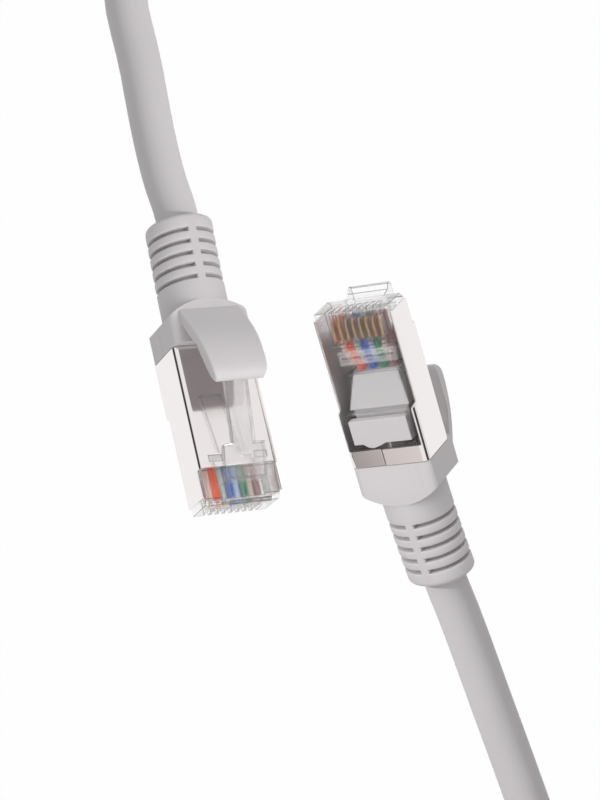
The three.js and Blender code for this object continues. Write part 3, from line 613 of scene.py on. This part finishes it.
def world():
    """A white studio. Metal also mirrors two dark flags and a grey card in it."""
    bpy.context.scene.world = bpy.data.worlds.new("studio")
    bpy.context.scene.world.use_nodes = True
    sky = Finish("studio", tree=bpy.context.scene.world.node_tree)
    way = sky.node("ShaderNodeTexCoord", output="Generated")
    parts = sky.made("ShaderNodeSeparateXYZ", {}, {"Vector": way})
    _, side, height = (Socket(sky, output) for output in parts.outputs)
    spread = side.size() + height * FLAG_SLANT
    standing = height.between(*FLAG_RISES) * (1 - height.between(*FLAG_FALLS))
    flags = standing * (1 - spread.between(*FLAG_SPREAD))
    facing = sky.node(
        "ShaderNodeVectorMath", {"operation": "DOT_PRODUCT"}, {0: way, 1: STRAP_REFLECTS}, output="Value"
    )
    card = facing.between(*CARD_EDGE)
    rising = sky.node(
        "ShaderNodeVectorMath", {"operation": "DOT_PRODUCT"}, {0: way, 1: CARD_RISES}, output="Value"
    )
    grey = sky.mixed(rising.between(*CARD_TURNS), *CARD_GREYS)
    panorama = sky.mixed(card, sky.mixed(flags, STUDIO_WHITE, FLAG_DARK), grey)
    ambient = (AMBIENT, AMBIENT, AMBIENT, 1.0)
    colour = sky.mixed(sky.white_when_seen(("Is Glossy Ray",)), ambient, panorama)
    seen = sky.white_when_seen(("Is Camera Ray", "Is Transmission Ray"))
    colour = sky.mixed(seen, colour, WHITE)
    light = sky.node("ShaderNodeBackground", {}, {"Color": colour, "Strength": 1.0})
    sky.finish_with(light.output, "ShaderNodeOutputWorld")


def floor():
    """A white surface that still holds a trace of the object's soft shadow."""
    finish = Finish("white_floor")
    lit = finish.node("ShaderNodeBsdfDiffuse", {}, {"Color": FLOOR_GREY})
    white = finish.node("ShaderNodeEmission", {}, {"Color": WHITE, "Strength": 1.0})
    seen = ("Is Camera Ray", "Is Glossy Ray", "Is Transmission Ray")
    share = finish.white_when_seen(seen, FLOOR_SEEN_WHITE)
    both = finish.node("ShaderNodeMixShader", {}, {0: share, 1: lit, 2: white})
    finish.finish_with(both.output)
    bm = bmesh.new()
    bmesh.ops.create_grid(bm, x_segments=1, y_segments=1, size=2.0)
    mesh = bpy.data.meshes.new("floor")
    bm.to_mesh(mesh)
    bm.free()
    mesh.materials.append(finish.material)
    obj = bpy.data.objects.new("floor", mesh)
    bpy.context.scene.collection.objects.link(obj)


# ---- The cord -------------------------------------------------------------------------------


def coil_point(turn):
    """The coil spirals in on its upper layer, comes down as the spiral reverses, and spirals out."""
    turns = COIL_STEPS / COIL_STEPS_PER_TURN
    reverse = (turns - 0.5) / 2
    past = turn - reverse
    inward, down = turn * COIL_TURN_PITCH, 0.0
    if past > 0.5:
        inward, down = (turns - turn) * COIL_TURN_PITCH, 1.0
    elif past >= 0:
        swing = COIL_TURN_PITCH / math.tau * math.sin(math.tau * past)
        inward = reverse * COIL_TURN_PITCH + swing
        down = (1 - math.cos(math.tau * past)) / 2
    angle = math.radians(COIL_START) + math.tau * turn
    lift = COIL_TILT * (1 + math.cos(angle - math.radians(TIE_AT))) / 2
    radius = COIL_RADIUS - inward
    return Vector((
        COIL_CENTRE[0] + radius * math.cos(angle),
        COIL_CENTRE[1] + radius * math.sin(angle),
        COIL_LOWEST + lift + (1 - down) * COIL_LAYER_STEP,
    ))


def tail_line(end, places):
    """Points along the jacket inside a boot's tail, from millimetres along the plug."""
    lean = PLUG_POSES[end]["lean"]
    line = []
    for y in places:
        along = (y - SHELL_END_Y) / (TAIL_END_Y - SHELL_END_Y)
        local = Vector((lean[0] * along**2, y, TAIL_Z + lean[1] * along**2))
        line.append(plug_matrix(end) @ local)
    return line


def cord():
    """The cord as one round tube, from inside the one boot through the coil to inside the other."""
    turns = [coil_point(step / COIL_STEPS_PER_TURN) for step in range(COIL_STEPS + 1)]
    line = tail_line("a", CORD_INSIDE_Y) + [Vector(point) for point in STRETCH_A] + turns
    line += [Vector(point) for point in reversed(STRETCH_B)] + tail_line("b", CORD_INSIDE_Y)[::-1]
    curve = bpy.data.curves.new("cord", "CURVE")
    curve.dimensions = "3D"
    curve.resolution_u = 5
    curve.bevel_depth = CORD_RADIUS * MM
    curve.bevel_resolution = 8
    curve.use_fill_caps = True
    spline = curve.splines.new("BEZIER")
    spline.bezier_points.add(len(line) - 1)
    for knot, point in zip(spline.bezier_points, line):
        knot.co = point
        knot.handle_left_type = knot.handle_right_type = "AUTO"
    length = sum((after - before).length for before, after in zip(line, line[1:]))
    obj = add_object("cord", curve, "cord")
    ride(obj, "cable", "cord_stretch_a", "cord_coil", "cord_stretch_b")


def coil_strap():
    """The hook-and-loop strap round the coil's turns."""
    bm = bmesh.new()
    bm.from_mesh(frame["nodes"]["coil_tie"].data)
    merge(bm, MM)
    bevel(bm, sharp_edges(bm, 60), STRAP_ROUND, 2)
    obj = add_mesh("coil_strap", bm, "strap")
    ride(obj, "cable", "coil_tie")


# ---- Boot -----------------------------------------------------------------------------------


def sunk(faces, bm, reach):
    """Faces pushed into the solid to make a groove, by a reach for each of their corners."""
    made = bmesh.ops.extrude_face_region(bm, geom=faces)
    bmesh.ops.delete(bm, geom=faces, context="FACES")
    for item in made["geom"]:
        if isinstance(item, bmesh.types.BMVert):
            item.co -= reach(item.co)


def on_line(edge):
    return all(abs(vert.co.z - COLLAR_LINE_Z) < COLLAR_LINE for vert in edge.verts)


def collar(end):
    """The boot's block behind the shell, with its rear edge domed and its front lip rounded."""
    bm = bmesh.new()
    low, high = COLLAR_Z
    back = COLLAR_Y[1] + COLLAR_DOME
    corners = [(-COLLAR_HALF, low), (COLLAR_HALF, low), (COLLAR_HALF, high), (-COLLAR_HALF, high)]
    face = bm.faces.new([bm.verts.new((x, COLLAR_Y[0], z)) for x, z in corners])
    bmesh.ops.bevel(
        bm, geom=bm.verts[:], offset=COLLAR_CORNER, offset_type="OFFSET", segments=6, profile=0.5,
        affect="VERTICES", material=-1,
    )
    made = bmesh.ops.extrude_face_region(bm, geom=bm.faces[:])
    moved = [item for item in made["geom"] if isinstance(item, bmesh.types.BMVert)]
    bmesh.ops.translate(bm, verts=moved, vec=(0, back - COLLAR_Y[0], 0))
    inner = COLLAR_HALF - COLLAR_CORNER
    slices = range(1 - COLLAR_SLICES, COLLAR_SLICES)
    bisected(bm, [(inner * share / COLLAR_SLICES, 0, 0) for share in slices], (1, 0, 0))
    for vert in bm.verts:
        if vert.co.y > back - CLOSE:
            vert.co.y -= COLLAR_DOME * (vert.co.x / COLLAR_HALF) ** 2
    bmesh.ops.recalc_face_normals(bm, faces=bm.faces)
    low_line, high_line = COLLAR_LINE_Z - COLLAR_LINE / 2, COLLAR_LINE_Z + COLLAR_LINE / 2
    bisected(bm, [(0, 0, low_line), (0, 0, high_line)], (0, 0, 1))
    sunk([
        face for face in bm.faces
        if face.calc_center_median().x < CLOSE - COLLAR_HALF
        and low_line < face.calc_center_median().z < high_line
    ], bm, lambda co: Vector((-COLLAR_LINE_DEPTH, 0, 0)))
    front = COLLAR_Y[0] + CLOSE
    rim = sharp_edges(bm, 60, lambda edge: max(vert.co.y for vert in edge.verts) < front)
    upper = [edge for edge in rim if min(vert.co.z for vert in edge.verts) > high - CLOSE]
    bevel(bm, upper, COLLAR_LIP, 6)
    rest = sharp_edges(bm, 60, lambda edge: edge.calc_length() > COLLAR_SHORTEST and not on_line(edge))
    bevel(bm, rest, COLLAR_ROUND)
    obj = add_mesh(f"boot_collar_{end}", bm, "boot", end, sharp=50)
    even_normals(obj)
    return obj


def tail(end):
    """The slotted strain relief behind the collar."""
    half = TAIL_SLOT_WIDTH / 2
    outer = [(TAIL_RADIUS, y) for y in TAIL_RINGS_Y]
    for y in TAIL_SLOT_Y:
        outer += [(TAIL_RADIUS, y - half), (TAIL_RADIUS, y + half)]
    turn = TAIL_END_ROUND
    rounding = [
        (TAIL_RADIUS - turn + turn * math.cos(angle), TAIL_END_Y - turn + turn * math.sin(angle))
        for angle in (math.radians(15 * step) for step in range(7))
    ]
    mouth = [(TAIL_BORE + TAIL_MOUTH, TAIL_END_Y)]
    inner = [(TAIL_BORE, y) for y in (TAIL_END_Y - TAIL_MOUTH, *TAIL_BORE_RINGS_Y)]
    bm = spun_ring(outer + rounding + mouth + inner, TAIL_TURNS, TAIL_Z)
    for y in TAIL_SLOT_Y:
        faces = []
        for face in bm.faces:
            middle = face.calc_center_median()
            across, up = abs(middle.x), abs(middle.z - TAIL_Z)
            in_slot = abs(middle.y - y) < CLOSE and math.hypot(across, up) > TAIL_RADIUS - TAIL_SKIN
            if in_slot and across > TAIL_SPINE / 2:
                faces.append(face)
        sunk(faces, bm, lambda co: Vector((co.x, 0, co.z - TAIL_Z)).normalized() * TAIL_SLOT_DEPTH)
    bmesh.ops.recalc_face_normals(bm, faces=bm.faces)
    rims = sharp_edges(
        bm, 50,
        lambda edge: all(
            math.hypot(vert.co.x, vert.co.z - TAIL_Z) > TAIL_RADIUS - CLOSE for vert in edge.verts
        ),
    )
    bevel(bm, rims, TAIL_ROUND)
    leaned(bm, end)
    return add_mesh(f"boot_tail_{end}", bm, "boot", end, sharp=50)


def hood(end):
    """The arched tab over the latch, moulded with the collar. It is made from -1 to 1 across, and
    then widened."""
    bm = bmesh.new()
    face = outline_face(bm, HOOD_OUTLINE, -1.0)
    further, higher = HOOD_REACH[end]
    current, at = [face], -1.0
    for share in HOOD_SHARES:
        made = bmesh.ops.extrude_face_region(bm, geom=current)
        moved = [item for item in made["geom"] if isinstance(item, bmesh.types.BMVert)]
        bmesh.ops.translate(bm, verts=moved, vec=(share - at, 0, 0))
        current = [item for item in made["geom"] if isinstance(item, bmesh.types.BMFace)]
        at = share
    inside = [f for f in bm.faces if len(f.verts) > 4 and abs(f.calc_center_median().x) < 1 - CLOSE]
    bmesh.ops.delete(bm, geom=inside, context="FACES_ONLY")
    for vert in bm.verts:
        share = min(1.0, max(0.0, (vert.co.y - HOOD_TIP_Y) / (HOOD_ROOT_Y - HOOD_TIP_Y)))
        half = HOOD_TIP_HALF + (HOOD_ROOT_HALF - HOOD_TIP_HALF) * share
        if vert.co.y < HOOD_NOSE_Y:
            half -= HOOD_NOSE_DRAW
        vert.co.x *= half
        vert.co.y -= further * (1 - share)
        vert.co.z += higher * (1 - share)
    bmesh.ops.recalc_face_normals(bm, faces=bm.faces)
    obj = add_mesh(f"boot_hood_{end}", bm, "boot", end, sharp=180)
    smoothed(obj, 3)
    return obj


def boot(end):
    collar_piece, tail_piece = collar(end), tail(end)
    ride(collar_piece, "cable", f"boot_{end}")
    ride(tail_piece, "cable")
    hood_piece = hood(end)
    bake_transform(hood_piece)
    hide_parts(f"boot_tab_{end}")


# ---- Plug -----------------------------------------------------------------------------------

CONTACT_PITCH = 1.02
CONTACTS = 8
CONTACT_ROUND = 0.05
LATCH_ROUND = 0.08
WIRE_Z = 2.4
WIRE_STRAIGHT_Y = (1.2, 4.8, 6.2)  # side by side under the contacts
WIRE_MIDDLE_Y = 8.05
WIRE_BACK_Y = (9.1, 9.5)  # in two layers, where they leave the jacket
PAIR_Z = (3.95, 2.95)
PAIR_GATHER = 0.82
JACKET_TAPER_Y = (9.6, 14.5)
JACKET_HALF = (3.3, 4.5)
JACKET_PACKED_HALF = (3.6, 4.35)
JACKET_HIDDEN_Y = 37  # where it is cut off, out of sight in the boot's tail
JACKET_ROUND = 0.18
SEAM_LIFT = 0.1  # how far the shell's end stands up at the seam
SEAM_HALF = 0.4  # the end lies on this to within rounding, so that only plug b's is lifted
SEAM_FRONT_Y = 18
SEAM_HIGHEST_Z = -1.0
SHELL_HALF = 5.85
SHELL_Z = (-1.4, 6.6)
SHELL_MIDDLE_Z = sum(SHELL_Z) / 2
SHELL_BEND = 0.5
BEND_GROWTH = 0.35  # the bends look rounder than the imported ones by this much
COMB_END_Y = 4.9
NOSE_END_Y = 12.0  # the body's edges are rounded as far as this
COMB_HALF = 4.3
NUB_X = (2.35, 4.25)
NUB_Y = (5.55, 6.45)
NUB_Z = (6.1, 6.55)
NUB_ROUND = 0.12


def wire(pin, colour, end):
    """One insulated conductor, from under its contact back to the jacket."""
    x = (pin - (CONTACTS - 1) / 2) * CONTACT_PITCH
    end_x, end_z = x * PAIR_GATHER, PAIR_Z[pin % 2]
    line = [(x, y, WIRE_Z) for y in WIRE_STRAIGHT_Y]
    line += [((x + end_x) / 2, WIRE_MIDDLE_Y, (WIRE_Z + end_z) / 2)]
    line += [(end_x, y, end_z) for y in WIRE_BACK_Y]
    curve = bpy.data.curves.new(f"wire_{colour}_{end}", "CURVE")
    curve.dimensions = "3D"
    curve.resolution_u = 6
    curve.bevel_depth = WIRE_RADIUS * MM
    curve.bevel_resolution = 4
    curve.use_fill_caps = True
    spline = curve.splines.new("BEZIER")
    spline.bezier_points.add(len(line) - 1)
    for knot, point in zip(spline.bezier_points, line):
        knot.co = plug_matrix(end) @ Vector(point)
        knot.handle_left_type = knot.handle_right_type = "AUTO"
    obj = add_object(f"conductor_{colour}_{end}", curve, f"wire_{colour}")
    ride(obj, "cable", f"wire_{colour}_{end}")


def jacket_front(end):
    """The flattened front of the jacket that the clamp bar holds."""
    bm = solid_of(f"jacket_end_{end}", end)
    bisected(bm, [(0, JACKET_TAPER_Y[1], 0)], (0, 1, 0))
    for vert in bm.verts:
        along = (vert.co.y - JACKET_TAPER_Y[0]) / (JACKET_TAPER_Y[1] - JACKET_TAPER_Y[0])
        if along < 1.01:
            packed = JACKET_PACKED_HALF[0] if along < 0.05 else JACKET_PACKED_HALF[1]
            tapered = JACKET_HALF[0] + (JACKET_HALF[1] - JACKET_HALF[0]) * along
            vert.co.x *= tapered / packed
    geom = bm.verts[:] + bm.edges[:] + bm.faces[:]
    hidden = (0, JACKET_HIDDEN_Y, 0)
    bmesh.ops.bisect_plane(bm, geom=geom, plane_co=hidden, plane_no=(0, 1, 0), clear_outer=True)
    bmesh.ops.holes_fill(bm, edges=[edge for edge in bm.edges if edge.is_boundary])
    bevel(bm, sharp_edges(bm, 30), JACKET_ROUND)
    obj = add_mesh(f"jacket_front_{end}", bm, "jacket", end, sharp=50)
    even_normals(obj)
    ride(obj, "cable", f"jacket_end_{end}")


def on_comb(face):
    """Whether a face is the side of one of the ribs between the contacts."""
    middle = face.calc_center_median()
    return faces_sideways(face) and abs(middle.x) < COMB_HALF and middle.y < COMB_END_Y


def faces_sideways(face):
    return abs(face.normal.x) > 0.9


def inside_shell(face):
    middle = face.calc_center_median()
    out = Vector((middle.x, 0, middle.z - SHELL_MIDDLE_Z))
    return out.dot(face.normal) < 0


def bent_shell(bm):
    """The shell's bends made rounder, which draws its square inner corners in by 0.1 as well, and
    its end lifted at the seam."""
    centre_x, centre_z = SHELL_HALF - SHELL_BEND, SHELL_Z[1] - SHELL_BEND - SHELL_MIDDLE_Z
    for vert in bm.verts:
        if abs(vert.co.x) < SEAM_HALF and vert.co.z < SEAM_HIGHEST_Z and vert.co.y > SEAM_FRONT_Y:
            vert.co.z -= SEAM_LIFT
        above = vert.co.z - SHELL_MIDDLE_Z
        out = Vector((abs(vert.co.x) - centre_x, abs(above) - centre_z))
        if min(out) > -0.001:
            out += out.normalized() * BEND_GROWTH
            vert.co.x = math.copysign(centre_x - BEND_GROWTH + out.x, vert.co.x)
            vert.co.z = SHELL_MIDDLE_Z + math.copysign(centre_z - BEND_GROWTH + out.y, above)


def window_nubs(end):
    """The body's two nubs that stand in the shell's windows."""
    bm = bmesh.new()
    for side in (-1, 1):
        made = bmesh.ops.create_cube(bm, size=1.0)
        for vert in made["verts"]:
            x, y, z = (
                low + (high - low) * (share + 0.5)
                for (low, high), share in zip((NUB_X, NUB_Y, NUB_Z), vert.co)
            )
            vert.co = (side * x, y, z)
    bmesh.ops.recalc_face_normals(bm, faces=bm.faces)
    bevel(bm, bm.edges[:], NUB_ROUND)
    obj = add_mesh(f"window_nubs_{end}", bm, "clamp", end)
    even_normals(obj)
    ride(obj, "cable")


def plug(end):
    for node, finish, width, settings in (
        ("plug_body", "clear", 0.08, {"frosted": on_comb, "until": NOSE_END_Y}),
        ("shell", "nickel", 0.04, {"angle": 50, "shaped": bent_shell, "frosted": inside_shell}),
        ("clamp_bar", "clamp", 0.1, {"clamped": True}),
        ("wire_guide", "guide", 0.05, {}),
        ("drain_wire", "tinned", 0.03, {}),
    ):
        obj = refined(f"{node}_{end}", end, finish, width, **settings)
        ride(obj, "cable", f"{node}_{end}")
    for number in range(1, CONTACTS + 1):
        obj = refined(f"contact_{number}_{end}", end, "gold", CONTACT_ROUND, frosted=faces_sideways)
        ride(obj, "cable", f"contact_{number}_{end}")
    for pin, colour in enumerate(WIRE_COLOURS):
        wire(pin, colour, end)
    latch = refined(f"latch_{end}", end, "latch", LATCH_ROUND)
    ride(latch, f"latch_{end}_body", f"latch_{end}")
    window_nubs(end)
    jacket_front(end)


# ---- The whole cable ------------------------------------------------------------------------

bpy.context.scene.view_settings.view_transform = "Standard"
camera()
coil_strap()
cord()
world()
floor()
for end_name in ENDS:
    boot(end_name)
    plug(end_name)
lamps()
